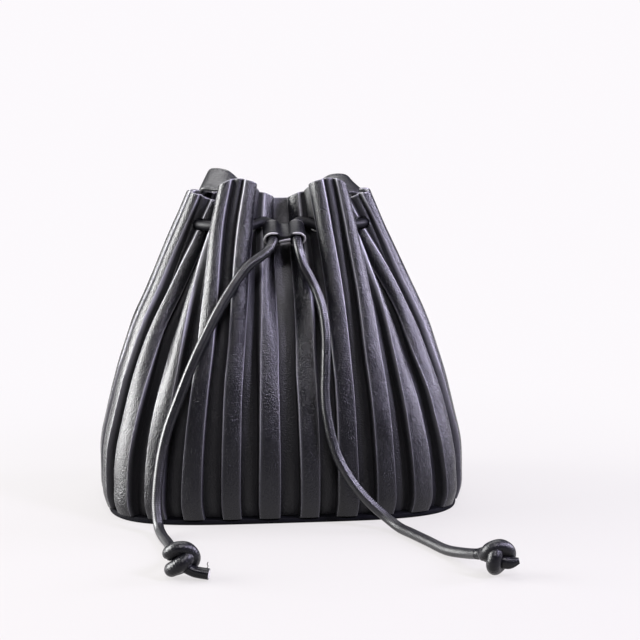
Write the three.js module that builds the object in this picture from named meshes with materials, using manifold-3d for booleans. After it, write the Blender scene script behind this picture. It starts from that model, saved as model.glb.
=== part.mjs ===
import * as THREE from 'three';
import { mergeVertices } from 'three/addons/utils/BufferGeometryUtils.js';
import Module from 'manifold-3d';

// Drawstring shoulder bag of pleated black leather, standing with its mouth drawn in.
// Millimetres, +Z up, the slider in front at -Y, the strap behind at +Y.
// The origin is the middle of the base's underside, on the table.

const wasm = await Module();
wasm.setup();

// Driving sizes

const BAG_WIDTH = 210;
const BAG_DEPTH = 140;
const BAG_HEIGHT = 190.5;
const LEATHER = 1.3;
const RIDGES = 28;
const PLEAT_DEPTH = 8;
const FRONT_FOLD_DEPTH = 25;
const SIDE_FOLD_DEPTH = 19;
const BASE_THICKNESS = 3;
const SEAT_GAP = 0.3;
const CORD = 5.6;
const HOLE_CLEARANCE = 0.7;
const HOLES_BELOW_TOP = 27.5;
const STRAP_WIDTH = 20;
const STRAP_THICKNESS = 2.6;

const CORD_RADIUS = CORD / 2;
const HOLE_HEIGHT = BAG_HEIGHT - HOLES_BELOW_TOP;
const BLACK = 0x15151a;
const ROUGHNESS = { pleats: 0.45, base: 0.6, cord: 0.4, strap: 0.5 };

// Outline of the bag by height: each length is a share of a size above,
// square is how boxy the outline is, fold how far the mouth's folds have formed

const SECTIONS = [
  { height: 0.00, width: 0.975, depth: 0.965, square: 4.00, fold: 0.00, pleat: 0.80 },
  { height: 0.035, width: 0.995, depth: 0.990, square: 3.90, fold: 0.00, pleat: 0.95 },
  { height: 0.10, width: 1.000, depth: 1.000, square: 3.70, fold: 0.00, pleat: 1.00 },
  { height: 0.20, width: 0.998, depth: 0.990, square: 3.35, fold: 0.01, pleat: 1.00 },
  { height: 0.30, width: 0.960, depth: 0.965, square: 3.25, fold: 0.05, pleat: 1.00 },
  { height: 0.40, width: 0.918, depth: 0.925, square: 3.10, fold: 0.11, pleat: 1.00 },
  { height: 0.50, width: 0.863, depth: 0.870, square: 2.95, fold: 0.21, pleat: 0.97 },
  { height: 0.60, width: 0.801, depth: 0.810, square: 2.80, fold: 0.35, pleat: 0.90 },
  { height: 0.70, width: 0.720, depth: 0.745, square: 2.65, fold: 0.52, pleat: 0.80 },
  { height: 0.80, width: 0.640, depth: 0.680, square: 2.50, fold: 0.71, pleat: 0.66 },
  { height: 0.88, width: 0.578, depth: 0.628, square: 2.40, fold: 0.87, pleat: 0.54 },
  { height: 1.00, width: 0.488, depth: 0.545, square: 2.30, fold: 1.00, pleat: 0.42 },
];

// The mouth's edge: rim height at each lobe and valley, as a share of the bag's height,
// by pleats counted from the front middle

const FOLDS = [
  { pleat: 0, rim: 0.932 },
  { pleat: 2, rim: 1.000 },
  { pleat: 4, rim: 0.919 },
  { pleat: 6, rim: 0.958 },
  { pleat: 8, rim: 0.892 },
  { pleat: 10, rim: 0.934 },
  { pleat: 12, rim: 0.871 },
  { pleat: 14, rim: 0.903 },
];

const WALL_FOOT = BASE_THICKNESS + SEAT_GAP;
const WAVES = 7;
const PLEATS_PER_WAVE = RIDGES / WAVES;
const FRONT_WAVE_SHARE = 0.186;
const FRONT_FOLD_POWER = 1.15;
const SIDE_FOLD_POWER = 2.6;
const RIDGE_HALF = 0.255;
const GROOVE_HALF = 0.205;
const SAMPLES = RIDGES * 32;

function mix(a, b, share) {
  return a + (b - a) * share;
}

function sectionAt(height) {
  let i = 0;
  while (i < SECTIONS.length - 2 && SECTIONS[i + 1].height < height) i += 1;
  const low = SECTIONS[i];
  const high = SECTIONS[i + 1];
  const share = (height - low.height) / (high.height - low.height);
  const row = {};
  for (const name of Object.keys(low)) row[name] = mix(low[name], high[name], share);
  return row;
}

function runningLength(points) {
  const lengths = [0];
  for (let i = 0; i < points.length; i += 1) {
    const next = points[(i + 1) % points.length];
    lengths.push(lengths[i] + Math.hypot(next[0] - points[i][0], next[1] - points[i][1]));
  }
  return lengths;
}

function lookUp(value, keys, values) {
  let low = 0;
  let high = keys.length - 1;
  while (high - low > 1) {
    const middle = (low + high) >> 1;
    if (keys[middle] <= value) low = middle;
    else high = middle;
  }
  const span = keys[high] - keys[low];
  return mix(values[low], values[high], span > 0 ? (value - keys[low]) / span : 0);
}

function closedColumn(points, axis) {
  return [...points.map((p) => p[axis]), points[0][axis]];
}

function evenly(points, count) {
  const lengths = runningLength(points);
  const xs = closedColumn(points, 0);
  const ys = closedColumn(points, 1);
  const total = lengths[points.length];
  const out = [];
  for (let i = 0; i < count; i += 1) {
    const at = (total * i) / count;
    out.push([lookUp(at, lengths, xs), lookUp(at, lengths, ys)]);
  }
  return out;
}

function superellipse(halfWidth, halfDepth, square) {
  const out = [];
  for (let i = 0; i < SAMPLES * 2; i += 1) {
    const turn = (Math.PI * i) / SAMPLES;
    const s = Math.sin(turn);
    const c = Math.cos(turn);
    const x = halfWidth * Math.sign(s) * Math.abs(s) ** (2 / square);
    const y = -halfDepth * Math.sign(c) * Math.abs(c) ** (2 / square);
    out.push([x, y]);
  }
  return evenly(out, SAMPLES);
}

function outwardNormals(points) {
  return points.map((_, i) => {
    const before = points[(i + points.length - 1) % points.length];
    const after = points[(i + 1) % points.length];
    const dx = after[0] - before[0];
    const dy = after[1] - before[1];
    const length = Math.hypot(dx, dy);
    return [dy / length, -dx / length];
  });
}

// The gathered outline at one height: seven folds pushed in from the outline, with the
// leather shared out evenly by length so that each wave keeps its four pleats

function gatheredOutline(height) {
  const row = sectionAt(height);
  const base = superellipse((BAG_WIDTH / 2) * row.width, (BAG_DEPTH / 2) * row.depth, row.square);
  const normals = outwardNormals(base);
  const evenShare = 1 / WAVES;
  const front = mix(evenShare, FRONT_WAVE_SHARE, row.fold);
  const wave = (1 - front) / (WAVES - 1);
  const points = base.map((p, i) => {
    const share = i / SAMPLES;
    const away = Math.min(share, 1 - share);
    const inFront = away <= front / 2;
    const along = (away - front / 2) / wave;
    const x = inFront ? away / (front / 2) : Math.abs(along - Math.floor(along) - 0.5) * 2;
    const power = inFront ? FRONT_FOLD_POWER : SIDE_FOLD_POWER;
    const depth = (inFront ? FRONT_FOLD_DEPTH : SIDE_FOLD_DEPTH) * row.fold;
    const push = depth * ((1 + Math.cos(Math.PI * x)) / 2) ** power;
    return [p[0] - normals[i][0] * push, p[1] - normals[i][1] * push];
  });
  const lengths = runningLength(points);
  const shares = lengths.map((_, i) => i / SAMPLES);
  const crests = [0];
  const pleats = [0];
  for (let i = 0; i < WAVES; i += 1) {
    crests.push(lookUp(front / 2 + wave * i, shares, lengths));
    pleats.push(PLEATS_PER_WAVE / 2 + PLEATS_PER_WAVE * i);
  }
  crests.push(lengths[SAMPLES]);
  pleats.push(RIDGES);
  const folded = outwardNormals(points);
  return {
    pleat: lengths.map((length) => lookUp(length, crests, pleats)),
    x: closedColumn(points, 0),
    y: closedColumn(points, 1),
    nx: closedColumn(folded, 0),
    ny: closedColumn(folded, 1),
    inward: row.pleat * PLEAT_DEPTH,
  };
}

function rimHeight(pleat) {
  const turn = ((pleat % RIDGES) + RIDGES) % RIDGES;
  const away = Math.min(turn, RIDGES - turn);
  const step = FOLDS[1].pleat;
  const i = Math.min(Math.floor(away / step), FOLDS.length - 2);
  const share = (1 - Math.cos(Math.PI * (away / step - i))) / 2;
  return BAG_HEIGHT * mix(FOLDS[i].rim, FOLDS[i + 1].rim, share);
}

function onOutline(outline, pleat, inset) {
  const turn = ((pleat % RIDGES) + RIDGES) % RIDGES;
  const nx = lookUp(turn, outline.pleat, outline.nx);
  const ny = lookUp(turn, outline.pleat, outline.ny);
  const length = Math.hypot(nx, ny);
  const x = lookUp(turn, outline.pleat, outline.x) - (nx / length) * inset;
  const y = lookUp(turn, outline.pleat, outline.y) - (ny / length) * inset;
  return [x, y];
}

// Tools for solids: a strip of rings closed into one body, and joins and cuts

function solidFromRings(rings, capped) {
  const size = rings[0].length;
  const positions = rings.flat(2);
  const index = [];
  const rows = capped ? rings.length - 1 : rings.length;
  for (let r = 0; r < rows; r += 1) {
    const next = (r + 1) % rings.length;
    for (let i = 0; i < size; i += 1) {
      const j = (i + 1) % size;
      const a = r * size + i;
      const b = r * size + j;
      const c = next * size + j;
      const d = next * size + i;
      index.push(a, b, c, a, c, d);
    }
  }
  if (capped) {
    for (const [r, flip] of [[0, true], [rings.length - 1, false]]) {
      for (let i = 1; i < size - 1; i += 1) {
        const a = r * size;
        const b = r * size + i;
        const c = r * size + i + 1;
        index.push(...(flip ? [a, c, b] : [a, b, c]));
      }
    }
  }
  const geometry = new THREE.BufferGeometry();
  geometry.setAttribute('position', new THREE.Float32BufferAttribute(positions, 3));
  geometry.setIndex(index);
  return geometry;
}

function toManifold(geometry) {
  const bare = geometry.clone();
  bare.deleteAttribute('normal');
  bare.deleteAttribute('uv');
  const merged = mergeVertices(bare, 1e-4);
  const vertProperties = new Float32Array(merged.attributes.position.array);
  const triVerts = new Uint32Array(merged.index.array);
  return new wasm.Manifold(new wasm.Mesh({ numProp: 3, vertProperties, triVerts }));
}

function toGeometry(manifold) {
  const mesh = manifold.getMesh();
  const geometry = new THREE.BufferGeometry();
  geometry.setAttribute('position', new THREE.Float32BufferAttribute(mesh.vertProperties, 3));
  geometry.setIndex(Array.from(mesh.triVerts));
  return geometry;
}

function tube(route, radius, sides, steps) {
  const points = route.map((p) => new THREE.Vector3(...p));
  const path = new THREE.CatmullRomCurve3(points, false, 'centripetal');
  const shape = new THREE.Shape();
  for (let i = 0; i < sides; i += 1) {
    const turn = (2 * Math.PI * i) / sides;
    const x = radius * Math.cos(turn);
    const y = radius * Math.sin(turn);
    if (i === 0) shape.moveTo(x, y);
    else shape.lineTo(x, y);
  }
  shape.closePath();
  return new THREE.ExtrudeGeometry(shape, { steps, extrudePath: path });
}

const group = new THREE.Group();

function add(name, geometry, roughness) {
  const material = new THREE.MeshStandardMaterial({ color: BLACK, roughness, metalness: 0 });
  const mesh = new THREE.Mesh(geometry, material);
  mesh.name = name;
  group.add(mesh);
}

// Ring of the drawstring round the mouth: inside the lobes, out through a hole and across
// each valley. It runs a fixed distance inside the outline of the lobes.

const RING_INSET = 8.5;
const RING_POINTS = 36;
const ringShare = (HOLE_HEIGHT - WALL_FOOT) / (BAG_HEIGHT * FOLDS[3].rim - WALL_FOOT);
const ringRow = sectionAt(ringShare);
const ringOutline = superellipse(
  (BAG_WIDTH / 2) * ringRow.width - RING_INSET,
  (BAG_DEPTH / 2) * ringRow.depth - RING_INSET,
  ringRow.square,
);

// The slider leans with its mouths facing forward and down, just before the front fold

const SLIDER = { x: -0.3, forward: 2.6, drop: 3, tilt: 55, waist: 3, band: 1.8, length: 11 };
const CORD_PLAY = 0.6;
const SLIDER_TILT = THREE.MathUtils.degToRad(SLIDER.tilt);
const SLIDER_Y = ringOutline[0][1] - SLIDER.forward;
const SLIDER_Z = HOLE_HEIGHT - SLIDER.drop;
const LOOP_INSIDE = CORD_RADIUS + CORD_PLAY;
const LOOP_OUTSIDE = LOOP_INSIDE + SLIDER.band;
const LOOP_CENTRE = LOOP_OUTSIDE + SLIDER.waist / 2;

function alongSlider(side, distance, outward = 0) {
  const y = SLIDER_Y - Math.sin(SLIDER_TILT) * distance;
  const z = SLIDER_Z - Math.cos(SLIDER_TILT) * distance;
  return [SLIDER.x + side * (LOOP_CENTRE + outward), y, z];
}

const RING_START = 0.075;
const ringRoute = [];
for (let i = 0; i <= RING_POINTS; i += 1) {
  const share = mix(RING_START, 1 - RING_START, i / RING_POINTS);
  const p = ringOutline[Math.round(share * SAMPLES) % SAMPLES];
  ringRoute.push([p[0], p[1], HOLE_HEIGHT]);
}

// From the last hole the cord turns up behind the slider and down into its loop

const CORD_BEND = { behind: 9.8, side: 3.5, lift: 1.6, in: 0.6 };
const toSlider = (side) => [
  alongSlider(side, -CORD_BEND.behind, CORD_BEND.side),
  alongSlider(side, -CORD_BEND.behind + CORD_BEND.lift, CORD_BEND.in),
  alongSlider(side, -SLIDER.length / 4),
  alongSlider(side, SLIDER.length / 4 - SEAT_GAP / 2),
];
const fullRingRoute = [...toSlider(1).reverse(), ...ringRoute, ...toSlider(-1)];
const holeRoute = [toSlider(1)[1], toSlider(1)[0], ...ringRoute, ...toSlider(-1).slice(0, 2)];
add('drawstring_ring', tube(fullRingRoute, CORD_RADIUS, 8, 54), ROUGHNESS.cord);

// Pleated wall: box pleats of one leather, the holes follow the cord's ring

const wallRows = SECTIONS.map(({ height }) => {
  const outline = gatheredOutline(height);
  const points = [];
  for (let k = 0; k < RIDGES; k += 1) {
    const middle = k + 0.5;
    const corners = [
      [k + GROOVE_HALF, outline.inward],
      [middle - RIDGE_HALF, 0],
      [middle + RIDGE_HALF, 0],
      [k + 1 - GROOVE_HALF, outline.inward],
    ];
    for (const [pleat, inset] of corners) {
      const [x, y] = onOutline(outline, pleat, inset);
      points.push([x, y, mix(WALL_FOOT, rimHeight(pleat), height)]);
    }
  }
  return points;
});

function insideOf(points, thickness) {
  return points.map((p, i) => {
    const before = points[(i + points.length - 1) % points.length];
    const after = points[(i + 1) % points.length];
    const inA = new THREE.Vector2(before[1] - p[1], p[0] - before[0]).normalize();
    const inB = new THREE.Vector2(p[1] - after[1], after[0] - p[0]).normalize();
    const middle = inA.clone().add(inB).normalize();
    const reach = Math.min(thickness / Math.max(middle.dot(inA), 0.5), thickness * 1.6);
    return [p[0] + middle.x * reach, p[1] + middle.y * reach, p[2]];
  });
}

const innerRows = wallRows.map((points) => insideOf(points, LEATHER));
const wallShell = solidFromRings([...wallRows, ...innerRows.reverse()], false);
const holeCutter = tube(holeRoute, CORD_RADIUS + HOLE_CLEARANCE, 8, 46);
add('pleated_wall', toGeometry(toManifold(wallShell).subtract(toManifold(holeCutter))), ROUGHNESS.pleats);

// Base panel, set in a little from the pleats' feet

const BASE_INSET = { side: 0.735, front: 0.49 };
const BASE_POINTS = 64;
const foot = SECTIONS[0];
const basePoints = evenly(
  superellipse(
    (BAG_WIDTH / 2) * foot.width - BASE_INSET.side,
    (BAG_DEPTH / 2) * foot.depth - BASE_INSET.front,
    foot.square,
  ),
  BASE_POINTS,
);
const baseRings = [0, BASE_THICKNESS].map((z) => basePoints.map(([x, y]) => [x, y, z]));
add('base_panel', solidFromRings(baseRings, true), ROUGHNESS.base);

// Slider: a leather band wound into two loops, one for each cord

const LOOP_STEPS = 14;
const LOOP_SIDES = 7;
const WAIST_TURN = THREE.MathUtils.degToRad(52);
const sliderShape = new THREE.Shape();
for (const side of [1, -1]) {
  for (let i = 0; i <= LOOP_STEPS; i += 1) {
    const open = mix(WAIST_TURN - Math.PI, Math.PI - WAIST_TURN, i / LOOP_STEPS);
    const turn = side > 0 ? open : open + Math.PI;
    const x = side * LOOP_CENTRE + LOOP_OUTSIDE * Math.cos(turn);
    const y = LOOP_OUTSIDE * Math.sin(turn);
    if (side > 0 && i === 0) sliderShape.moveTo(x, y);
    else sliderShape.lineTo(x, y);
  }
}
sliderShape.closePath();
for (const side of [1, -1]) {
  const hole = new THREE.Path();
  hole.absarc(side * LOOP_CENTRE, 0, LOOP_INSIDE, 0, 2 * Math.PI, true);
  sliderShape.holes.push(hole);
}
const slider = new THREE.ExtrudeGeometry(sliderShape, {
  depth: SLIDER.length,
  bevelEnabled: false,
  curveSegments: LOOP_SIDES,
});
slider.translate(0, 0, -SLIDER.length / 2);
slider.rotateX(-SLIDER_TILT);
slider.translate(SLIDER.x, SLIDER_Y, SLIDER_Z);
add('slider', slider, ROUGHNESS.strap);

// Free ends of the drawstring: out of the slider, over the bag's front and along the table

const tailStart = (side) => [
  alongSlider(side, SLIDER.length / 4 + SEAT_GAP / 2),
  alongSlider(side, SLIDER.length / 2 + 1),
];
const LEFT_ROUTE = [
  ...tailStart(-1),
  [-10.6, -47.2, 151.0],
  [-21.8, -51.5, 143.0],
  [-34.3, -55.4, 126.3],
  [-45.4, -59.2, 106.7],
  [-53.7, -62.0, 89.8],
  [-61.9, -64.6, 70.0],
  [-67.5, -67.2, 55.5],
  [-71.2, -70.2, 41.5],
  [-73.4, -74.0, 27.5],
  [-74.3, -78.0, 14.8],
  [-73.4, -84.0, 5.2],
  [-71.6, -94.0, 3.1],
  [-68.6, -109.0, 3.0],
  [-66.4, -130.0, 3.2],
  [-67.0, -142.0, 6.6],
  [-67.1, -149.4, 10.2],
];
const RIGHT_ROUTE = [
  ...tailStart(1),
  [7.4, -46.8, 150.8],
  [9.6, -49.0, 142.9],
  [14.8, -50.3, 132.8],
  [18.9, -55.2, 121.2],
  [20.7, -60.2, 105.6],
  [20.2, -64.4, 88.7],
  [19.6, -68.2, 71.7],
  [21.4, -71.0, 55.7],
  [25.8, -73.2, 39.5],
  [32.9, -76.2, 26.4],
  [41.3, -80.4, 16.2],
  [51.3, -85.0, 7.4],
  [57.6, -92.5, 3.4],
  [62.8, -104.0, 3.1],
  [69.0, -119.0, 3.1],
  [76.2, -136.5, 3.2],
  [83.4, -151.5, 5.8],
  [87.3, -161.5, 8.4],
];
add('drawstring_left', tube(LEFT_ROUTE, CORD_RADIUS, 8, 34), ROUGHNESS.cord);
add('drawstring_right', tube(RIGHT_ROUTE, CORD_RADIUS, 8, 36), ROUGHNESS.cord);

// Overhand knots on the table at the cord's ends: a turn round a core, one pass of the cord
// across its face, the end of the cord that comes in and the short end left over

const TURN = { major: 6.8, minor: CORD_RADIUS + 0.1, squeeze: 0.9 };
const KNOT_CORE = { across: 6.2, deep: 4.6 };

function knot({ x, y, z, lean, face, entry, end }) {
  const core = new THREE.SphereGeometry(1, 8, 5);
  core.scale(KNOT_CORE.across, KNOT_CORE.deep, KNOT_CORE.across);
  const turn = new THREE.TorusGeometry(TURN.major, TURN.minor, 7, 13);
  turn.scale(TURN.squeeze, 1, 1);
  turn.rotateX(Math.PI / 2 + THREE.MathUtils.degToRad(lean));
  const bodies = [face, entry, end].map((route) => tube(route, TURN.minor, 7, 4));
  const whole = [turn, ...bodies].reduce((body, more) => body.add(toManifold(more)), toManifold(core));
  const geometry = toGeometry(whole);
  geometry.translate(x, y, z);
  return geometry;
}

const LEFT_KNOT = {
  x: -63.2,
  y: -159.5,
  z: 9.9,
  lean: 12,
  face: [[4.8, -0.6, 3.4], [1.2, -4.6, -0.2], [-3.0, -4.4, -4.4], [-5.2, -0.6, -5.6]],
  entry: [[0, 0, 2.0], [-3.2, 5.0, 3.6], [-3.8, 9.4, 0.7]],
  end: [[1.0, -1.0, -3.4], [6.5, -2.8, -5.2], [13.6, -5.0, -6.7]],
};
const RIGHT_KNOT = {
  x: 95.6,
  y: -172.5,
  z: 9.8,
  lean: -10,
  face: [[-0.5, -0.6, 6.0], [-3.0, -4.4, 3.0], [-3.4, -4.6, -2.6], [-1.0, -0.6, -6.0]],
  entry: [[0, 0, 1.0], [-4.6, 5.4, 0.6], [-8.0, 10.4, -1.2]],
  end: [[1.0, -1.0, -2.0], [5.5, -2.4, -3.2], [11.4, -3.4, -3.4]],
};
add('knot_left', knot(LEFT_KNOT), ROUGHNESS.cord);
add('knot_right', knot(RIGHT_KNOT), ROUGHNESS.cord);

// Shoulder strap: one flat band from inside the mouth, over the rim at each side, down the
// back and round on its edge behind the bag. Rows give the middle line, as shares of the bag's
// half width, half depth and height or of the way back to the bend, and the way across.

const STRAP_STEPS_PER_ROW = 2;
const STRAP_CLEARANCE = 3;
const STRAP_TOP = BAG_HEIGHT * FOLDS[5].rim;
const BEND_RADIUS = 62;
const BEND_MIDDLE = 196;
const BEND_STEPS = 6;

const flat = (degrees) => {
  const turn = THREE.MathUtils.degToRad(degrees);
  return new THREE.Vector3(Math.cos(turn), Math.sin(turn), 0);
};

const sewnEnd = (pleat, height) => {
  const outline = gatheredOutline(height);
  const [beforeX, beforeY] = onOutline(outline, pleat - GROOVE_HALF, outline.inward);
  const [afterX, afterY] = onOutline(outline, pleat + GROOVE_HALF, outline.inward);
  const across = new THREE.Vector3(beforeX - afterX, beforeY - afterY, 0).normalize();
  const inward = LEATHER + SEAT_GAP + STRAP_THICKNESS / 2;
  const point = new THREE.Vector3(
    (beforeX + afterX) / 2 + across.y * inward,
    (beforeY + afterY) / 2 - across.x * inward,
    mix(WALL_FOOT, rimHeight(pleat), height),
  );
  return { point, across };
};

const downTheBack = ({ share, height }) => {
  const row = sectionAt(height);
  const outline = superellipse(
    (BAG_WIDTH / 2) * row.width + STRAP_CLEARANCE,
    (BAG_DEPTH / 2) * row.depth + STRAP_CLEARANCE,
    row.square,
  );
  const at = Math.round(share * SAMPLES);
  const [x, y] = outline[at];
  const [nextX, nextY] = outline[at + 1];
  const across = new THREE.Vector3(x - nextX, y - nextY, 0).normalize();
  return { point: new THREE.Vector3(x, y, mix(WALL_FOOT, STRAP_TOP, height)), across };
};

const SEWN_HEIGHTS = [0.76, 0.86, 0.96];
const RIGHT_ARCH = [
  { x: 0.265, y: 0.066, z: 0.913, across: -62, tip: 0 },
  { x: 0.291, y: 0.106, z: 0.948, across: -66, tip: 16 },
  { x: 0.350, y: 0.163, z: 0.959, across: -70, tip: 30 },
  { x: 0.419, y: 0.220, z: 0.956, across: -70, tip: 30 },
  { x: 0.476, y: 0.286, z: 0.934, across: -64, tip: 16 },
  { x: 0.499, y: 0.371, z: 0.892, across: -52, tip: 0 },
];
const LEFT_ARCH = [
  { x: -0.244, y: 0.071, z: 0.919, across: 240, tip: 0 },
  { x: -0.250, y: 0.117, z: 0.953, across: 244, tip: 18 },
  { x: -0.290, y: 0.174, z: 0.969, across: 247, tip: 36 },
  { x: -0.349, y: 0.240, z: 0.972, across: 246, tip: 36 },
  { x: -0.402, y: 0.320, z: 0.949, across: 238, tip: 18 },
  { x: -0.442, y: 0.414, z: 0.898, across: 226, tip: 0 },
];
const BACK_RUN = [
  { share: 0.352, height: 0.80 },
  { share: 0.363, height: 0.60 },
  { share: 0.366, height: 0.40 },
  { share: 0.368, height: 0.20 },
  { share: 0.369, height: 0.08 },
];
const TABLE_RUN = [
  { x: 0.786, back: 0.063, across: 163, twist: 0, lift: 2.6 },
  { x: 0.795, back: 0.159, across: 172, twist: 0, lift: 0.2 },
  { x: 0.771, back: 0.341, across: 187, twist: 5, lift: 0.6 },
  { x: 0.695, back: 0.627, across: 192, twist: 42, lift: 0.6 },
  { x: 0.638, back: 0.817, across: 192, twist: 72, lift: 0.3 },
];

const archRow = ({ x, y, z, across, tip }) => {
  const turn = THREE.MathUtils.degToRad(tip);
  const way = flat(across).multiplyScalar(Math.cos(turn)).setZ(-Math.sin(turn));
  const point = new THREE.Vector3((x * BAG_WIDTH) / 2, (y * BAG_DEPTH) / 2, z * BAG_HEIGHT);
  return { point, across: way };
};

const tableRow = ({ x, back, across, twist, lift }) => {
  const turn = THREE.MathUtils.degToRad(twist);
  const lowest = (STRAP_WIDTH * Math.sin(turn) + STRAP_THICKNESS * Math.cos(turn) + SEAT_GAP) / 2;
  const way = flat(across).multiplyScalar(Math.cos(turn)).setZ(Math.sin(turn));
  const y = mix(BAG_DEPTH / 2, BEND_MIDDLE, back);
  return { point: new THREE.Vector3((x * BAG_WIDTH) / 2, y, lowest + lift), across: way };
};

const mirrored = ({ point, across }) => ({
  point: new THREE.Vector3(-point.x, point.y, point.z),
  across: new THREE.Vector3(across.x, -across.y, -across.z),
});

const turned = ({ point, across }) => ({ point, across: across.clone().negate() });

const rightHalf = [
  ...SEWN_HEIGHTS.map((height) => sewnEnd(2 * PLEATS_PER_WAVE, height)),
  ...RIGHT_ARCH.map(archRow),
  ...BACK_RUN.map(downTheBack),
  ...TABLE_RUN.map(tableRow),
];
const leftHalf = [
  ...SEWN_HEIGHTS.map((height) => sewnEnd(RIDGES - 2 * PLEATS_PER_WAVE, height)),
  ...LEFT_ARCH.map(archRow),
  ...BACK_RUN.map(downTheBack).map(mirrored),
  ...TABLE_RUN.map(tableRow).map(mirrored),
];
const bend = [];
for (let i = 0; i <= BEND_STEPS; i += 1) {
  const turn = (Math.PI * i) / BEND_STEPS;
  const x = BEND_RADIUS * Math.cos(turn);
  const y = BEND_MIDDLE + BEND_RADIUS * Math.sin(turn);
  const z = (STRAP_WIDTH + SEAT_GAP) / 2;
  bend.push({ point: new THREE.Vector3(x, y, z), across: new THREE.Vector3(0, 0, 1) });
}

function ribbon(rows, width, thickness, stepsPerRow) {
  const middle = new THREE.CatmullRomCurve3(rows.map((row) => row.point), false, 'centripetal');
  const steps = (rows.length - 1) * stepsPerRow;
  const rings = [];
  for (let i = 0; i <= steps; i += 1) {
    const low = Math.min(Math.floor(i / stepsPerRow), rows.length - 2);
    const along = middle.getTangent(i / steps);
    const across = rows[low].across.clone().lerp(rows[low + 1].across, i / stepsPerRow - low);
    across.addScaledVector(along, -across.dot(along)).normalize().multiplyScalar(width / 2);
    const up = along.clone().cross(across).normalize().multiplyScalar(thickness / 2);
    const centre = middle.getPoint(i / steps);
    rings.push([[1, 1], [-1, 1], [-1, -1], [1, -1]].map(([a, u]) => (
      centre.clone().addScaledVector(across, a).addScaledVector(up, u).toArray()
    )));
  }
  return solidFromRings(rings, true);
}

const strapRows = [...rightHalf, ...bend, ...leftHalf.reverse()];
for (let i = 1; i < strapRows.length; i += 1) {
  if (strapRows[i].across.dot(strapRows[i - 1].across) < 0) strapRows[i] = turned(strapRows[i]);
}
add('shoulder_strap', ribbon(strapRows, STRAP_WIDTH, STRAP_THICKNESS, STRAP_STEPS_PER_ROW), ROUGHNESS.strap);

export default group;
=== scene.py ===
import math

import bmesh
import bpy
import numpy as np
from mathutils import Euler, Matrix, Vector


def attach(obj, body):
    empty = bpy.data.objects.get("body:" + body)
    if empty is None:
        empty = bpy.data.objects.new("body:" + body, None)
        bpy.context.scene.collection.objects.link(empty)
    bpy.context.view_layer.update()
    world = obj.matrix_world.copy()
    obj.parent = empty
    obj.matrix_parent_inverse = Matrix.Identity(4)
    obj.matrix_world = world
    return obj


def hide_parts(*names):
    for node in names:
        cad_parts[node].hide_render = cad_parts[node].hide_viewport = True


# Drawstring shoulder bag of pleated black leather, standing with its mouth drawn in.
# Metres, +Z up, the slider in front at -Y, the strap behind at +Y.

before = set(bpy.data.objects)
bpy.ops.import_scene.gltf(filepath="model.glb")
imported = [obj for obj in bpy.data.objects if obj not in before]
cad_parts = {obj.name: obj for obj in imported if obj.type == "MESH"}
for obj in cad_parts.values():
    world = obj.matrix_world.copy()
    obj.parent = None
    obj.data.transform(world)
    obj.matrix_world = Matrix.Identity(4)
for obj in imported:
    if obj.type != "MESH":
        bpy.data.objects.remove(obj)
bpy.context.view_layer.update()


# Camera
# Stands a metre in front of the bag, a little to its left, and looks slightly down.

CAMERA_PLACE = (-0.0837, -0.9965, 0.270)
CAMERA_DOWN = math.radians(9.41)
CAMERA_TURN = math.radians(6.17)
CAMERA_LENS = 96.98
CAMERA_FILM = 36


def add_object(name, data):
    """Puts a new object into the scene."""
    thing = bpy.data.objects.new(name, data)
    bpy.context.scene.collection.objects.link(thing)
    return thing


camera_data = bpy.data.cameras.new("camera")
camera_data.lens = CAMERA_LENS
camera_data.sensor_width = CAMERA_FILM
camera = add_object("camera", camera_data)
camera.location = CAMERA_PLACE
camera.rotation_euler = Euler((math.pi / 2 - CAMERA_DOWN, 0, -CAMERA_TURN))
bpy.context.scene.camera = camera


# Free ends of the drawstring
# Round cord of thin black leather rolled round a core, its seam running lengthwise. Both ends
# come out of the slider, lie down the bag's front and over the table, and end in a knot.

CORD = 0.0056
CORD_SIDES = 24
CORD_STEP = 0.0011
CORE_SHARE = 0.62
SPREAD = 0.25
CURVE_STEPS = 24
SEAM = {"deep": 0.00045, "half": 0.20}
LEFT_ROUTE = [
    (-0.0070, -0.0398, 0.1584),
    (-0.0070, -0.0428, 0.1563),
    (-0.0106, -0.0472, 0.1510),
    (-0.0218, -0.0515, 0.1430),
    (-0.0343, -0.0554, 0.1263),
    (-0.0454, -0.0592, 0.1067),
    (-0.0537, -0.0620, 0.0898),
    (-0.0619, -0.0646, 0.0700),
    (-0.0675, -0.0672, 0.0555),
    (-0.0712, -0.0702, 0.0415),
    (-0.0734, -0.0740, 0.0275),
    (-0.0743, -0.0780, 0.0148),
    (-0.0734, -0.0840, 0.0052),
    (-0.0716, -0.0940, 0.0031),
    (-0.0686, -0.1090, 0.0030),
    (-0.0664, -0.1300, 0.0032),
    (-0.0670, -0.1420, 0.0066),
    (-0.0671, -0.1494, 0.0102),
]
RIGHT_ROUTE = [
    (0.0064, -0.0398, 0.1584),
    (0.0064, -0.0428, 0.1563),
    (0.0074, -0.0468, 0.1508),
    (0.0096, -0.0490, 0.1429),
    (0.0148, -0.0503, 0.1328),
    (0.0189, -0.0552, 0.1212),
    (0.0207, -0.0602, 0.1056),
    (0.0202, -0.0644, 0.0887),
    (0.0196, -0.0682, 0.0717),
    (0.0214, -0.0710, 0.0557),
    (0.0258, -0.0732, 0.0395),
    (0.0329, -0.0762, 0.0264),
    (0.0413, -0.0804, 0.0162),
    (0.0513, -0.0850, 0.0074),
    (0.0576, -0.0925, 0.0034),
    (0.0628, -0.1040, 0.0031),
    (0.0690, -0.1190, 0.0031),
    (0.0762, -0.1365, 0.0032),
    (0.0834, -0.1515, 0.0058),
    (0.0873, -0.1615, 0.0084),
]


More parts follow.
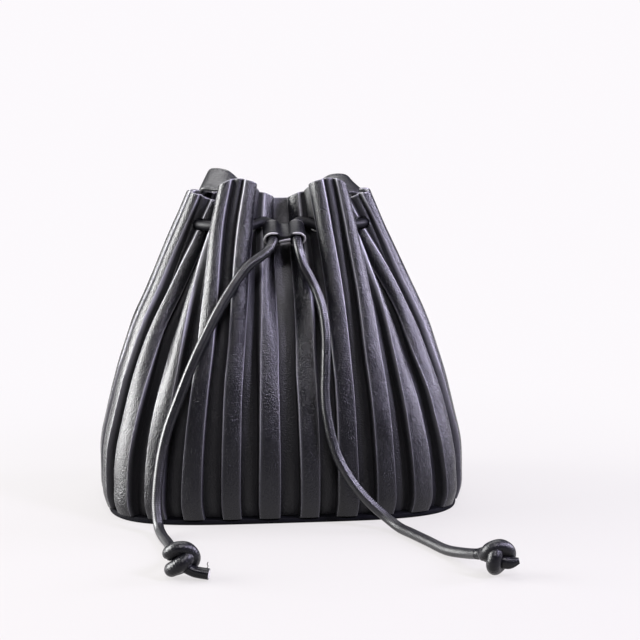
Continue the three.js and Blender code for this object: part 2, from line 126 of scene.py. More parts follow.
def feed(tree, node, inputs):
    """Gives each named input of a node a plain value or another node's output."""
    for socket, value in inputs.items():
        if isinstance(value, bpy.types.NodeSocket):
            tree.links.new(value, node.inputs[socket])
        else:
            node.inputs[socket].default_value = value
    return node


def add_node(tree, kind, inputs=None, **settings):
    """Adds a node to a tree, with its settings first and then its inputs."""
    node = tree.nodes.new(kind)
    for setting, value in settings.items():
        setattr(node, setting, value)
    return feed(tree, node, inputs or {})


def maths(tree, operation, *values):
    """One step of arithmetic on plain values or other nodes' outputs."""
    node = add_node(tree, "ShaderNodeMath", dict(enumerate(values)), operation=operation)
    return node.outputs["Value"]


def read_mark(tree, name):
    """A number that a piece keeps at its points, as its material reads it."""
    return add_node(tree, "ShaderNodeAttribute", attribute_name=name).outputs["Fac"]


PORES_PER_PEBBLE = 2.4
PORE_HEIGHT = 0.6
CREASE_HEIGHT = 1.2
GRAIN_STRENGTH = 0.8
PATCHES_PER_METRE = 60
PATCH_SHADES = (0.75, 1.3)
STREAKS_PER_METRE = 520
STREAK_STRETCH = 0.12
SHEEN_RANGE = (0.3, 0.7)
WORN_SHINE = -0.12
COAT_ROUGHNESS = 0.28
COAT_SHARE = 0.25


def black_leather(
    name, tone, gloss, grain, relief=0.00026, gleam=0.32, streak=0.0, scuff_and_highlight=0.0,
    scuff_and_highlight_tone=(0.30, 0.295, 0.32), ribs=0.0, dull=0.0,
):
    """Fine-grained black leather: grain is the size of a pebble in metres and relief its
    height, gloss the lowest and highest roughness, gleam how strongly it reflects, streak how
    much sheen runs lengthwise, the edge share how far marked edges take the paler edge tone
    (edge wear with a painted highlight on fold edges, a pale core on a cord's cut end), ribs the
    spacing of creases across a cord, dull how much rougher it is where nothing rubs it to a shine."""
    material = bpy.data.materials.new(name)
    material.use_nodes = True
    tree = material.node_tree
    place = add_node(tree, "ShaderNodeTexCoord").outputs["Object"]
    pebbles = add_node(
        tree, "ShaderNodeTexVoronoi", {"Vector": place, "Scale": 1 / grain}, feature="SMOOTH_F1"
    )
    pores = add_node(
        tree, "ShaderNodeTexNoise",
        {"Vector": place, "Scale": PORES_PER_PEBBLE / grain, "Detail": 3},
    )
    patches = add_node(
        tree, "ShaderNodeTexNoise", {"Vector": place, "Scale": PATCHES_PER_METRE, "Detail": 4}
    )
    drawn = add_node(
        tree, "ShaderNodeMapping", {"Vector": place, "Scale": (1, 1, STREAK_STRETCH)}
    )
    streaks = add_node(
        tree, "ShaderNodeTexNoise",
        {"Vector": drawn.outputs["Vector"], "Scale": STREAKS_PER_METRE, "Detail": 3},
    )

    height = maths(
        tree, "MULTIPLY_ADD", pores.outputs["Fac"], PORE_HEIGHT, pebbles.outputs["Distance"]
    )
    if ribs:
        crease = maths(tree, "PINGPONG", read_mark(tree, "along"), ribs / 2)
        height = maths(tree, "MULTIPLY_ADD", crease, CREASE_HEIGHT / ribs, height)
    bump = add_node(
        tree, "ShaderNodeBump",
        {"Strength": GRAIN_STRENGTH, "Distance": relief, "Height": height},
    )

    sheen = add_node(
        tree, "ShaderNodeMix",
        {"Factor": streak, "A": patches.outputs["Fac"], "B": streaks.outputs["Fac"]},
    )
    rough = add_node(tree, "ShaderNodeMapRange", {
        "Value": sheen.outputs["Result"],
        "From Min": SHEEN_RANGE[0], "From Max": SHEEN_RANGE[1],
        "To Min": gloss[0], "To Max": gloss[1],
    })
    # Marked edges turn paler: edge wear with a painted highlight on fold edges, rims and cut edges
    edge_scuff_and_highlight = maths(tree, "MULTIPLY", read_mark(tree, "edge_scuff_and_sheen"), scuff_and_highlight)
    polished = maths(tree, "MULTIPLY_ADD", edge_scuff_and_highlight, WORN_SHINE, rough.outputs["Result"])
    roughness = maths(tree, "MULTIPLY_ADD", read_mark(tree, "sheltered"), dull, polished)

    shade = add_node(tree, "ShaderNodeMapRange", {
        "Value": patches.outputs["Fac"], "To Min": PATCH_SHADES[0], "To Max": PATCH_SHADES[1],
    })
    dyed = add_node(
        tree, "ShaderNodeMix",
        {"Factor": 1, "A": (*tone, 1), "B": shade.outputs["Result"]},
        data_type="RGBA", blend_type="MULTIPLY",
    )
    scuffed_and_lit = add_node(
        tree, "ShaderNodeMix",
        {"Factor": edge_scuff_and_highlight, "A": dyed.outputs["Result"], "B": (*scuff_and_highlight_tone, 1)},
        data_type="RGBA",
    )
    feed(tree, tree.nodes["Principled BSDF"], {
        "Base Color": scuffed_and_lit.outputs["Result"],
        "Roughness": roughness,
        "Normal": bump.outputs["Normal"],
        "Specular IOR Level": gleam,
        "Coat Weight": gleam * COAT_SHARE,
        "Coat Roughness": COAT_ROUGHNESS,
    })
    return material


def curve_through(points, steps):
    """The smooth line through these points, with as many steps between each two."""
    given = np.array(points, float)
    padded = np.vstack([given[0] * 2 - given[1], given, given[-1] * 2 - given[-2]])
    share = np.arange(steps)[:, None] / steps
    line = []
    for before, near, far, after in zip(padded, padded[1:], padded[2:], padded[3:]):
        back, span, ahead = (
            np.linalg.norm(step) ** 0.5 for step in (near - before, far - near, after - far)
        )
        leave = (near - before) / back - (far - before) / (back + span) + (far - near) / span
        arrive = (far - near) / span - (after - near) / (span + ahead) + (after - far) / ahead
        leave, arrive = leave * span, arrive * span
        line.append(
            near + leave * share
            + (3 * (far - near) - 2 * leave - arrive) * share**2
            + (2 * (near - far) + leave + arrive) * share**3
        )
    return np.vstack(line + [given[-1:]])


def run_along(line):
    """How far along a line each of its points is."""
    return np.concatenate([[0], np.cumsum(np.linalg.norm(np.diff(line, axis=0), axis=1))])


def smooth_route(points, spacing):
    """Evenly spaced points on the smooth line through a route's points."""
    line = curve_through(points, CURVE_STEPS)
    run = run_along(line)
    at = np.linspace(0, run[-1], max(2, round(run[-1] / spacing)) + 1)
    return np.column_stack([np.interp(at, run, line[:, k]) for k in range(3)])


SHARP_CORNER = math.radians(50)


def shade_smooth(mesh, corner):
    """Shades a mesh smooth, but for corners sharper than this angle."""
    mesh.polygons.foreach_set("use_smooth", [True] * len(mesh.polygons))
    mesh.set_sharp_from_angle(angle=corner)


def mesh_piece(name, places, faces, material, marks=None):
    """A piece with its place in its mesh, shaded smooth but for its sharp corners. Marks are
    numbers kept at its points, for its material or a node tree to read."""
    mesh = bpy.data.meshes.new(name)
    mesh.from_pydata([tuple(map(float, p)) for p in places], [], faces)
    for mark, values in (marks or {}).items():
        mesh.attributes.new(mark, "FLOAT", "POINT").data.foreach_set("value", values)
    mesh.materials.append(material)
    shade_smooth(mesh, SHARP_CORNER)
    mesh.update()
    return add_object(name, mesh)


def tube_faces(rows, around, ends=False):
    """Faces between rows of points that each go once around, with both ends closed or open."""
    faces = []
    for r in range(rows - 1):
        for k in range(around):
            a, b = r * around + k, r * around + (k + 1) % around
            faces.append((a, b, b + around, a + around))
    if ends:
        faces.append(tuple(range(around))[::-1])
        faces.append(tuple(range((rows - 1) * around, rows * around)))
    return faces


def rolled_cord(
    name, line, material, reach=CORD / 2, turns=0.0, start=0.0, seam_way=None, flat=1.0,
    core=0.0, sheltered=0.0,
):
    """The cord along a line: a rolled skin with one seam. The seam faces one way, or winds
    slowly round. Reach is its radius, flat its height for its width and sheltered its lack of
    shine, each one number or one for each point. Core is how pale the cut end's middle is."""
    ahead = np.gradient(line, axis=0)
    ahead /= np.linalg.norm(ahead, axis=1)[:, None]
    side = np.cross(ahead[0], (0.0, 0.0, 1.0))
    if np.linalg.norm(side) < 1e-6:
        side = np.array((1.0, 0.0, 0.0))
    angles = np.arange(CORD_SIDES) * 2 * np.pi / CORD_SIDES
    off = (angles + np.pi) % (2 * np.pi) - np.pi
    seam = SEAM["deep"] * np.exp(-((off / SEAM["half"]) ** 2))
    radius = np.broadcast_to(reach, len(line))
    height = np.broadcast_to(flat, len(line))
    along = run_along(line)
    shelter = np.broadcast_to(sheltered, len(line))
    places = []
    for i, point in enumerate(line):
        side = side if seam_way is None else np.array(seam_way)
        side = side - ahead[i] * (side @ ahead[i])
        side /= np.linalg.norm(side)
        other = np.cross(ahead[i], side)
        twist = start + 2 * np.pi * turns * i / len(line)
        sideways = np.cos(angles + twist) * (radius[i] - seam)
        upwards = np.sin(angles + twist) * (radius[i] - seam)
        wider = 1 + SPREAD * (1 - height[i])
        squash = np.array((wider, wider, height[i]))
        places.extend(
            point + (side * sideways[k] + other * upwards[k]) * squash for k in range(CORD_SIDES)
        )
    places.extend(line[-1] + (p - line[-1]) * CORE_SHARE for p in places[-CORD_SIDES:])
    cut = np.zeros(len(places))
    cut[-CORD_SIDES:] = core
    marks = {
        "along": np.repeat(np.append(along, along[-1]), CORD_SIDES),
        "edge_scuff_and_sheen": cut,
        "sheltered": np.repeat(np.append(shelter, shelter[-1]), CORD_SIDES),
    }
    faces = tube_faces(len(line) + 1, CORD_SIDES, ends=True)
    return mesh_piece(name, places, faces, material, marks)


cord_leather = black_leather(
    "cord_leather", (0.006, 0.006, 0.007), (0.17, 0.27), 0.0006, 0.00014, gleam=0.36, scuff_and_highlight=1.0,
    scuff_and_highlight_tone=(0.40, 0.39, 0.38), ribs=0.0012, dull=0.35,
)
SEAM_WAY = (0.15, -0.6, 0.8)
DULL_HEIGHTS = (0.010, 0.060)
DULL_LOW = 0.35
left_line = smooth_route(LEFT_ROUTE, CORD_STEP)
right_line = smooth_route(RIGHT_ROUTE, CORD_STEP)
cord_left, cord_right = (
    rolled_cord(
        name, line, cord_leather, seam_way=SEAM_WAY,
        sheltered=np.interp(line[:, 2], DULL_HEIGHTS, (DULL_LOW, 0)),
    )
    for name, line in (("cord_left", left_line), ("cord_right", right_line))
)


# Knots
# One overhand knot pulled tight in each end of the cord, with a short end left over. The left
# end is cut square and shows its pale core and a loose thread, the right one runs to a tip.
# Their leather is a darker, less reflective copy of the free cord's: painted shade.

LEFT_KNOT = (-0.0632, -0.1595, 0.0099)
RIGHT_KNOT = (0.0956, -0.1725, 0.0098)
LEFT_KNOT_ROUTE = [
    (-0.0039, 0.0098, 0.0003),
    (-0.0050, 0.0060, 0.0020),
    (-0.0066, 0.0015, 0.0034),
    (-0.0030, -0.0016, 0.0066),
    (0.0030, -0.0018, 0.0064),
    (0.0066, -0.0006, 0.0018),
    (0.0052, 0.0030, -0.0034),
    (0.0006, 0.0052, -0.0032),
    (-0.0006, 0.0040, 0.0020),
    (0.0034, 0.0004, 0.0040),
    (0.0030, -0.0036, 0.0014),
    (-0.0012, -0.0050, -0.0016),
    (-0.0054, -0.0026, -0.0048),
    (-0.0048, 0.0022, -0.0062),
    (-0.0006, 0.0028, -0.0056),
    (0.0012, -0.0014, -0.0040),
    (0.0065, -0.0032, -0.0056),
    (0.0136, -0.0050, -0.0066),
]
RIGHT_KNOT_ROUTE = [
    (-0.0083, 0.0107, -0.0014),
    (-0.0064, 0.0066, 0.0004),
    (-0.0066, 0.0016, 0.0012),
    (-0.0046, -0.0016, 0.0052),
    (0.0010, -0.0018, 0.0068),
    (0.0058, -0.0004, 0.0036),
    (0.0062, 0.0028, -0.0014),
    (0.0020, 0.0048, -0.0050),
    (-0.0026, 0.0038, -0.0010),
    (-0.0010, 0.0002, 0.0042),
    (-0.0022, -0.0038, 0.0028),
    (-0.0034, -0.0046, -0.0022),
    (-0.0018, -0.0012, -0.0062),
    (0.0018, 0.0014, -0.0054),
    (0.0018, -0.0016, -0.0024),
    (0.0056, -0.0030, -0.0022),
    (0.0102, -0.0038, -0.0010),
]

THREAD = 0.0004
THREAD_STEP = 0.0003
THREAD_ROUTE = [
    (0.0122, -0.0046, -0.0050),
    (0.0125, -0.0048, -0.0036),
    (0.0131, -0.0050, -0.0024),
    (0.0127, -0.0052, -0.0012),
    (0.0132, -0.0052, -0.0002),
]
KNOT_STEP = 0.0006
KNOT_SWELL = 0.0009
KNOT_TIGHT = 0.88
KNOT_SKIN = 0.0001
KNOT_ENDS = 0.86
KNOT_EASE = 0.12
TIP_FROM = 0.90
PRESSED_FROM = 0.82
PRESSED_EASE = 0.1
KNOT_SEAM = {"turns": 0.3, "start": 0.9}
# A darker, less reflective copy of the cord leather: painted shade on the knots
knot_leather_shaded = black_leather(
    "knot_leather_shaded", (0.004, 0.004, 0.005), (0.24, 0.34), 0.0006, 0.00014, gleam=0.20, scuff_and_highlight=1.0,
    scuff_and_highlight_tone=(0.40, 0.39, 0.38), ribs=0.0012,
)


def knot(name, centre, route, free, tip=1.0, flat=1.0, core=0.0):
    """The knot along its route: the cord swells where it is pulled tight, and keeps its own
    thickness at its start. The free part can run to a tip, be pressed flat and show its core."""
    tight = [Vector(centre) + Vector(p) * (KNOT_TIGHT if 0 < i < len(route) - free else 1)
             for i, p in enumerate(route)]
    line = smooth_route(tight, KNOT_STEP)
    at = np.linspace(0, 1, len(line))
    swell = np.clip(at / KNOT_EASE, 0, 1) * np.clip((KNOT_ENDS - at) / KNOT_EASE, 0, 1)
    reach = CORD / 2 + KNOT_SKIN + KNOT_SWELL * swell * swell * (3 - 2 * swell)
    ending = np.clip((at - TIP_FROM) / (1 - TIP_FROM), 0, 1)
    reach = reach * (1 - (1 - tip) * ending * ending)
    height = 1 - (1 - flat) * np.clip((at - PRESSED_FROM) / PRESSED_EASE, 0, 1)
    return rolled_cord(name, line, knot_leather_shaded, reach, flat=height, core=core, **KNOT_SEAM)


knot_left = knot("knot_left_tied", LEFT_KNOT, LEFT_KNOT_ROUTE, 2, core=1.0)
knot_right = knot("knot_right_tied", RIGHT_KNOT, RIGHT_KNOT_ROUTE, 2, tip=0.45, flat=1.2)
thread_line = smooth_route([Vector(LEFT_KNOT) + Vector(p) for p in THREAD_ROUTE], THREAD_STEP)
thread = rolled_cord("loose_thread", thread_line, cord_leather, THREAD / 2)

for piece, line, node, tied, tied_node, ends in (
    (cord_left, left_line, "drawstring_left", knot_left, "knot_left", [knot_left, thread]),
    (cord_right, right_line, "drawstring_right", knot_right, "knot_right", [knot_right]),
):
    for part in [piece] + ends:
        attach(part, "root")
    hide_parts(node)
    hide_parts(tied_node)


# Pleated wall
# Box pleats pressed into one length of soft black leather, sewn to the base and drawn in at
# the mouth, where the wall folds inwards seven times. The cord's holes go through each fold.

BAG_WIDTH = 0.210
BAG_DEPTH = 0.140
BAG_HEIGHT = 0.1905
LEATHER = 0.0013
RIDGES = 28
WAVES = 7
PLEAT_DEPTH = 0.008
TUCKED_SHARE = 0.75
FRONT_FOLD_DEPTH = 0.025
SIDE_FOLD_DEPTH = 0.019
FRONT_WAVE_SHARE = 0.186
FRONT_FOLD_POWER = 1.15
SIDE_FOLD_POWER = 7.0
GROOVE_HALF = 0.205
RIDGE_EDGE = 0.250
WALL_FOOT = 0.0033
SAMPLES = RIDGES * 64
# The wall from foot to rim: its outline as shares of the bag's width and depth, how square the
# outline is, and how deep its folds and its pleats are there
SECTIONS = [
    {"height": 0.00, "width": 0.975, "depth": 0.965, "square": 4.00, "fold": 0.00, "pleat": 0.80},
    {"height": 0.035, "width": 0.995, "depth": 0.990, "square": 3.90, "fold": 0.00, "pleat": 0.95},
    {"height": 0.10, "width": 1.000, "depth": 1.000, "square": 3.70, "fold": 0.00, "pleat": 1.00},
    {"height": 0.20, "width": 0.998, "depth": 0.990, "square": 3.35, "fold": 0.01, "pleat": 1.00},
    {"height": 0.30, "width": 0.960, "depth": 0.965, "square": 3.25, "fold": 0.05, "pleat": 1.00},
    {"height": 0.40, "width": 0.918, "depth": 0.925, "square": 3.10, "fold": 0.11, "pleat": 1.00},
    {"height": 0.50, "width": 0.863, "depth": 0.870, "square": 2.95, "fold": 0.21, "pleat": 0.97},
    {"height": 0.60, "width": 0.801, "depth": 0.810, "square": 2.80, "fold": 0.35, "pleat": 0.90},
    {"height": 0.70, "width": 0.720, "depth": 0.745, "square": 2.65, "fold": 0.52, "pleat": 0.80},
    {"height": 0.80, "width": 0.640, "depth": 0.680, "square": 2.50, "fold": 0.71, "pleat": 0.66},
    {"height": 0.88, "width": 0.578, "depth": 0.628, "square": 2.40, "fold": 0.87, "pleat": 0.54},
    {"height": 1.00, "width": 0.488, "depth": 0.545, "square": 2.30, "fold": 1.00, "pleat": 0.42},
]
# How high the rim stands, by pleats from the front's middle
RIM = {0: 0.932, 2: 1.0, 4: 0.919, 6: 0.958, 8: 0.892, 10: 0.934, 12: 0.871, 14: 0.903}
# Columns of points from a groove's middle to a ridge's, closest where the leather folds
HALF_PLEAT = [0, 0.09, 0.16, 0.195, 0.207, 0.219, 0.228, 0.237, 0.248, 0.268, 0.32, 0.41, 0.5]
WALL_ROWS = 66
ROW_CROWDING = 0.93
LAST_ROW = 0.996
RIM_ROUND = 0.0004
WALL_SHARP_CORNER = math.radians(62)


def section_at(height):
    """The outline's shares at one height, passing smoothly from row to row of the table."""
    rows = [row["height"] for row in SECTIONS]
    section = {}
    for name in ("width", "depth", "square", "fold", "pleat"):
        values = np.array([row[name] for row in SECTIONS])
        slopes = np.gradient(values, rows)
        i = min(max(int(np.searchsorted(rows, height)) - 1, 0), len(rows) - 2)
        gap = rows[i + 1] - rows[i]
        t = (height - rows[i]) / gap
        section[name] = float(
            values[i] * (2 * t**3 - 3 * t**2 + 1) + slopes[i] * gap * (t**3 - 2 * t**2 + t)
            + values[i + 1] * (3 * t**2 - 2 * t**3) + slopes[i + 1] * gap * (t**3 - t**2)
        )
    return section


def spaced_outline(half_width, half_depth, square):
    """A boxy oval from the front middle, its points evenly spaced."""
    turn = np.arange(SAMPLES * 2) * np.pi / SAMPLES
    s, c = np.sin(turn), np.cos(turn)
    x = half_width * np.sign(s) * np.abs(s) ** (2 / square)
    y = -half_depth * np.sign(c) * np.abs(c) ** (2 / square)
    x, y = np.append(x, x[0]), np.append(y, y[0])
    run = np.concatenate([[0], np.cumsum(np.hypot(np.diff(x), np.diff(y)))])
    at = run[-1] * np.arange(SAMPLES) / SAMPLES
    return np.column_stack([np.interp(at, run, x), np.interp(at, run, y)])


def plain_outline(row, further=0.0):
    """The outline of one of the wall's sections before it is folded, or one further out."""
    half_width, half_depth = BAG_WIDTH / 2 * row["width"], BAG_DEPTH / 2 * row["depth"]
    return spaced_outline(half_width + further, half_depth + further, row["square"])


def outward(points):
    """The outward direction at each point of an outline."""
    step = np.roll(points, -1, axis=0) - np.roll(points, 1, axis=0)
    step /= np.linalg.norm(step, axis=1)[:, None]
    return np.column_stack([step[:, 1], -step[:, 0]])


def gathered_outline(height):
    """The wall's outline with its folds, the pleat that each of its points belongs to, how
    far a side fold tucks it in there, and how deep the pleats are at this height."""
    row = section_at(height)
    base = plain_outline(row)
    front = 1 / WAVES + (FRONT_WAVE_SHARE - 1 / WAVES) * row["fold"]
    wave = (1 - front) / (WAVES - 1)
    share = np.arange(SAMPLES) / SAMPLES
    away = np.minimum(share, 1 - share)
    in_front = away <= front / 2
    along = (away - front / 2) / wave
    x = np.where(in_front, away / (front / 2), np.abs(along - np.floor(along) - 0.5) * 2)
    power = np.where(in_front, FRONT_FOLD_POWER, SIDE_FOLD_POWER)
    depth = np.where(in_front, FRONT_FOLD_DEPTH, SIDE_FOLD_DEPTH) * row["fold"]
    push = depth * ((1 + np.cos(np.pi * x)) / 2) ** power
    points = base - outward(base) * push[:, None]
    tucked = np.where(in_front, 0, push / SIDE_FOLD_DEPTH)
    ring = np.vstack([points, points[:1]])
    run = run_along(ring)
    crests = [0] + [
        float(np.interp(front / 2 + wave * i, np.arange(SAMPLES + 1) / SAMPLES, run))
        for i in range(WAVES)
    ] + [run[-1]]
    pleats = [0] + [2 + 4 * i for i in range(WAVES)] + [RIDGES]
    pleat = np.interp(run, crests, pleats)
    normals = outward(points)
    normals, tucked = np.vstack([normals, normals[:1]]), np.append(tucked, tucked[0])
    return pleat, ring, normals, tucked, row["pleat"] * PLEAT_DEPTH


def rim_height(pleat):
    """How high the rim stands at each pleat."""
    turn = np.asarray(pleat) % RIDGES
    away = np.minimum(turn, RIDGES - turn)
    rims = np.array([RIM[k] for k in sorted(RIM)])
    i = np.minimum((away / 2).astype(int), len(rims) - 2)
    share = (1 - np.cos(np.pi * (away / 2 - i))) / 2
    return BAG_HEIGHT * (rims[i] * (1 - share) + rims[i + 1] * share)


def on_outline(outline, pleat):
    """Points and outward directions of the wall's skin at these pleats, how far they are
    tucked in, and how deep the pleats are: shallower where a fold presses them together."""
    known, ring, normals, tucks, deepest = outline
    turn = np.asarray(pleat) % RIDGES
    places = np.column_stack([np.interp(turn, known, ring[:, k]) for k in range(2)])
    ways = np.column_stack([np.interp(turn, known, normals[:, k]) for k in range(2)])
    tucked = np.interp(turn, known, tucks)
    deep = deepest * (1 - TUCKED_SHARE * tucked)
    return places, ways / np.linalg.norm(ways, axis=1)[:, None], tucked, deep


whole_pleat = HALF_PLEAT + [1 - share for share in HALF_PLEAT[-2:0:-1]]
column = np.array([number + share for number in range(RIDGES) for share in whole_pleat])
heights = [(r / (WALL_ROWS - 2)) ** ROW_CROWDING for r in range(WALL_ROWS - 1)]
heights.insert(-1, LAST_ROW)
skin, ways, tucks, depths = [], [], [], []
for height in heights:
    places, away, tucked, deep = on_outline(gathered_outline(height), column)
    z = WALL_FOOT + (rim_height(column) - WALL_FOOT) * height
    skin.append(np.column_stack([places, z]))
    ways.append(np.column_stack([away, np.zeros(len(column))]))
    tucks.append(tucked)
    depths.append(deep)
skin, ways = np.vstack(skin), np.vstack(ways)

around = len(column)
# Its fold edges and rim turn paler: edge wear with a painted highlight
pleat_leather = black_leather(
    "pleat_leather", (0.005, 0.005, 0.006), (0.14, 0.34), 0.0008, relief=0.00034, gleam=0.30,
    streak=0.4, scuff_and_highlight=0.8, dull=0.5,
)
wall = mesh_piece("pleated_skin", skin, tube_faces(WALL_ROWS, around), pleat_leather, {
    "pleat": np.tile(column, WALL_ROWS),
    "height": np.repeat(heights, around),
    "tucked": np.concatenate(tucks),
    "depth": np.concatenate(depths),
})
wall.data.attributes.new("outward", "FLOAT_VECTOR", "POINT").data.foreach_set(
    "vector", ways.ravel()
)


def tree_with(name, sockets):
    """A Geometry Nodes tree with these named inputs: (name, kind, value)."""
    tree = bpy.data.node_groups.new(name, "GeometryNodeTree")
    tree.interface.new_socket("Geometry", in_out="INPUT", socket_type="NodeSocketGeometry")
    for label, kind, value in sockets:
        socket = tree.interface.new_socket(label, in_out="INPUT", socket_type=kind)
        if kind != "NodeSocketMaterial":
            socket.default_value = value
    tree.interface.new_socket("Geometry", in_out="OUTPUT", socket_type="NodeSocketGeometry")
    return tree, tree.nodes.new("NodeGroupInput"), tree.nodes.new("NodeGroupOutput")


def finished_mesh(piece):
    """The piece's shape as a plain mesh, with its modifiers worked in and then removed."""
    evaluated = piece.evaluated_get(bpy.context.evaluated_depsgraph_get())
    mesh = bpy.data.meshes.new_from_object(evaluated)
    piece.modifiers.clear()
    return mesh


def run_tree(piece, tree, values, material):
    """Runs the tree on a piece and keeps the result as the piece's own plain mesh."""
    modifier = piece.modifiers.new(tree.name, "NODES")
    modifier.node_group = tree
    for item in tree.interface.items_tree:
        if item.in_out == "INPUT" and item.name in values:
            modifier[item.identifier] = values[item.name]
    piece.data = finished_mesh(piece)
    piece.data.materials.clear()
    piece.data.materials.append(material)


def end_tree(tree, geometry, material, result):
    """Ends a tree: copies are made real, and everything is given its material."""
    real = add_node(tree, "GeometryNodeRealizeInstances", {"Geometry": geometry})
    dressed = add_node(
        tree, "GeometryNodeSetMaterial",
        {"Geometry": real.outputs["Geometry"], "Material": material},
    )
    tree.links.new(dressed.outputs["Geometry"], result.inputs["Geometry"])


# Ridges swell out more between these heights, and each pleat takes its own part of the ripples
CROWN_HEIGHTS = (0.35, 0.80)
PLEAT_SHIFT = (3.7, 1.9)
SWAY_PER_METRE = (30, 30, 9)
SWAY_REACH = 4
# How far from a fold edge the paler edge colour fades, and how it grows from the foot upwards:
# edge wear with a painted highlight that is stronger higher up, and on the rim
SCUFF_AND_HIGHLIGHT_BAND = (0.004, 0.022)
SCUFF_AND_HIGHLIGHT_HEIGHTS = (0.1, 0.5)
SCUFF_AND_HIGHLIGHT_LOW = 0.2
RIM_SCUFF_AND_HIGHLIGHT = 0.45
RIM_FROM = 0.998
FLOOR_SHELTER = 0.45
CORNER_POWER = 4


def box_pleat_tree():
    """Presses the smooth skin into box pleats: every point moves inwards by its place between
    a groove's middle and a ridge's, and a slow unevenness leaves no two pleats alike."""
    tree, given, result = tree_with("box_pleats", [
        ("Groove Half", "NodeSocketFloat", GROOVE_HALF),
        ("Ridge Edge", "NodeSocketFloat", RIDGE_EDGE),
        ("Floor Crown", "NodeSocketFloat", 0.0010),
        ("Ridge Crown Low", "NodeSocketFloat", 0.0005),
        ("Ridge Crown High", "NodeSocketFloat", 0.0020),
        ("Unevenness", "NodeSocketFloat", 0.0008),
        ("Sway", "NodeSocketFloat", 0.0012),
        ("Ripple Scale", "NodeSocketFloat", 34.0),
        ("Leather", "NodeSocketMaterial", None),
    ])

    def kept(name, kind="FLOAT"):
        """A value kept at the skin's points."""
        node = add_node(
            tree, "GeometryNodeInputNamedAttribute", {"Name": name}, data_type=kind
        )
        return node.outputs["Attribute"]

    def keep(geometry, name, value):
        """Keeps one more number at the skin's points, for the leather to read."""
        node = add_node(
            tree, "GeometryNodeStoreNamedAttribute",
            {"Geometry": geometry, "Name": name, "Value": value}, data_type="FLOAT",
        )
        return node.outputs["Geometry"]

    def dome(at):
        """One in the middle of a strip of leather, falling to nothing at its edges."""
        return maths(tree, "MAXIMUM", maths(tree, "SUBTRACT", 1, maths(tree, "POWER", at, 2)), 0)

    size = given.outputs
    pleat, height = kept("pleat"), kept("height")
    from_groove = maths(tree, "PINGPONG", pleat, 0.5)
    sunk = add_node(tree, "ShaderNodeMapRange", {
        "Value": from_groove,
        "From Min": size["Groove Half"], "From Max": size["Ridge Edge"],
        "To Min": 1, "To Max": 0,
    }, interpolation_type="SMOOTHERSTEP").outputs["Result"]
    inset = maths(tree, "MULTIPLY", sunk, kept("depth"))

    floor_at = maths(tree, "DIVIDE", from_groove, size["Groove Half"])
    floor_crown = maths(tree, "MULTIPLY", dome(floor_at), size["Floor Crown"])
    from_ridge = maths(tree, "SUBTRACT", 0.5, from_groove)
    ridge_at = maths(tree, "DIVIDE", from_ridge, maths(tree, "SUBTRACT", 0.5, size["Ridge Edge"]))
    crown = add_node(tree, "ShaderNodeMapRange", {
        "Value": height,
        "From Min": CROWN_HEIGHTS[0], "From Max": CROWN_HEIGHTS[1],
        "To Min": size["Ridge Crown Low"], "To Max": size["Ridge Crown High"],
    })
    ridge_crown = maths(tree, "MULTIPLY", dome(ridge_at), crown.outputs["Result"])

    place = add_node(tree, "GeometryNodeInputPosition").outputs["Position"]
    number = maths(tree, "FLOOR", maths(tree, "ADD", pleat, 0.5))
    apart = add_node(tree, "ShaderNodeCombineXYZ", {
        "X": maths(tree, "MULTIPLY", number, PLEAT_SHIFT[0]),
        "Y": maths(tree, "MULTIPLY", number, PLEAT_SHIFT[1]),
    })
    ripple_place = add_node(
        tree, "ShaderNodeVectorMath",
        {0: place, 1: size["Ripple Scale"], 2: apart.outputs["Vector"]},
        operation="MULTIPLY_ADD",
    )
    ripple = add_node(
        tree, "ShaderNodeTexNoise",
        {"Vector": ripple_place.outputs["Vector"], "Scale": 1, "Detail": 2},
    )
    lift = maths(tree, "MULTIPLY", maths(tree, "SUBTRACT", ripple.outputs["Fac"], 0.5), 2)
    uneven = maths(tree, "MULTIPLY", lift, size["Unevenness"])

    loose = maths(tree, "SUBTRACT", 1, kept("tucked"))
    swell = maths(tree, "ADD", maths(tree, "ADD", floor_crown, ridge_crown), uneven)
    out = maths(tree, "SUBTRACT", maths(tree, "MULTIPLY", swell, loose), inset)
    away = kept("outward", "FLOAT_VECTOR")
    moved = add_node(
        tree, "ShaderNodeVectorMath", {"Vector": away, "Scale": out}, operation="SCALE"
    )

    sway_place = add_node(
        tree, "ShaderNodeVectorMath", {0: place, 1: SWAY_PER_METRE}, operation="MULTIPLY"
    )
    lean = add_node(
        tree, "ShaderNodeTexNoise",
        {"Vector": sway_place.outputs["Vector"], "Scale": 1, "Detail": 1},
    )
    sway = maths(tree, "MULTIPLY", maths(tree, "SUBTRACT", lean.outputs["Fac"], 0.5), SWAY_REACH)
    sideways = add_node(
        tree, "ShaderNodeVectorMath", {0: (0, 0, 1), 1: away}, operation="CROSS_PRODUCT"
    )
    swayed = add_node(tree, "ShaderNodeVectorMath", {
        "Vector": sideways.outputs["Vector"],
        "Scale": maths(tree, "MULTIPLY", sway, size["Sway"]),
    }, operation="SCALE")
    both = add_node(
        tree, "ShaderNodeVectorMath", {0: moved.outputs["Vector"], 1: swayed.outputs["Vector"]}
    )
    pressed = add_node(
        tree, "GeometryNodeSetPosition",
        {"Geometry": size["Geometry"], "Offset": both.outputs["Vector"]},
    )

